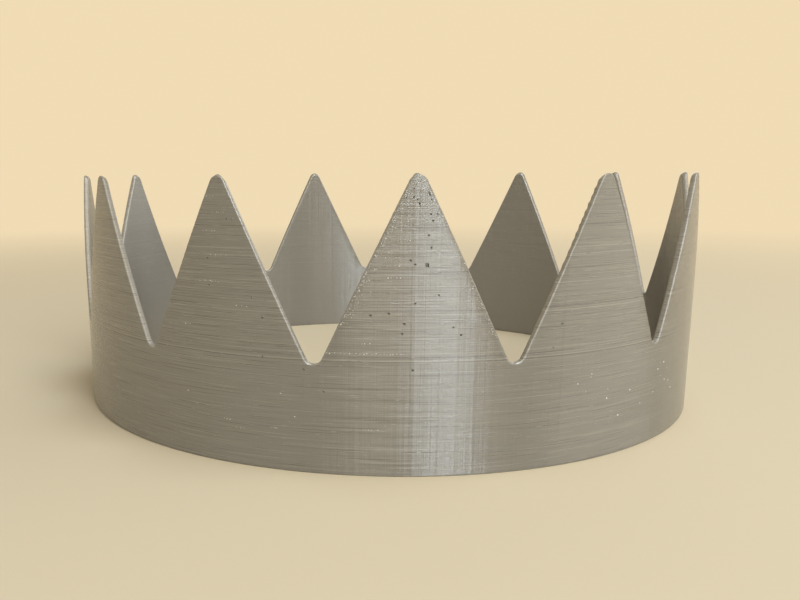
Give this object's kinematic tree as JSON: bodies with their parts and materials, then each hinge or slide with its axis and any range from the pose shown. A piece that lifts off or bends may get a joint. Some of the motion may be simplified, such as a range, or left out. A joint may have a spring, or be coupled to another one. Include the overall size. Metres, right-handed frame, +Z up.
{
  "type": "3d printed plastic crown",
  "caption": "Round open crown in thin printed plastic: a plain band cut into evenly spaced tall points with rounded tips, worn on the head or stood on its rim.",
  "frame": {"origin": "centre of the bottom rim, on the surface that the crown stands on", "axes": "+Z up along the crown's axis, with one point facing -Y"},
  "size_m": [0.18, 0.18, 0.0641],
  "materials": {
    "printed_plastic": "silver-grey, satin, with fine printed layer lines"
  },
  "bodies": {
    "root": {"crown": "printed_plastic"}
  },
  "joints": []
}
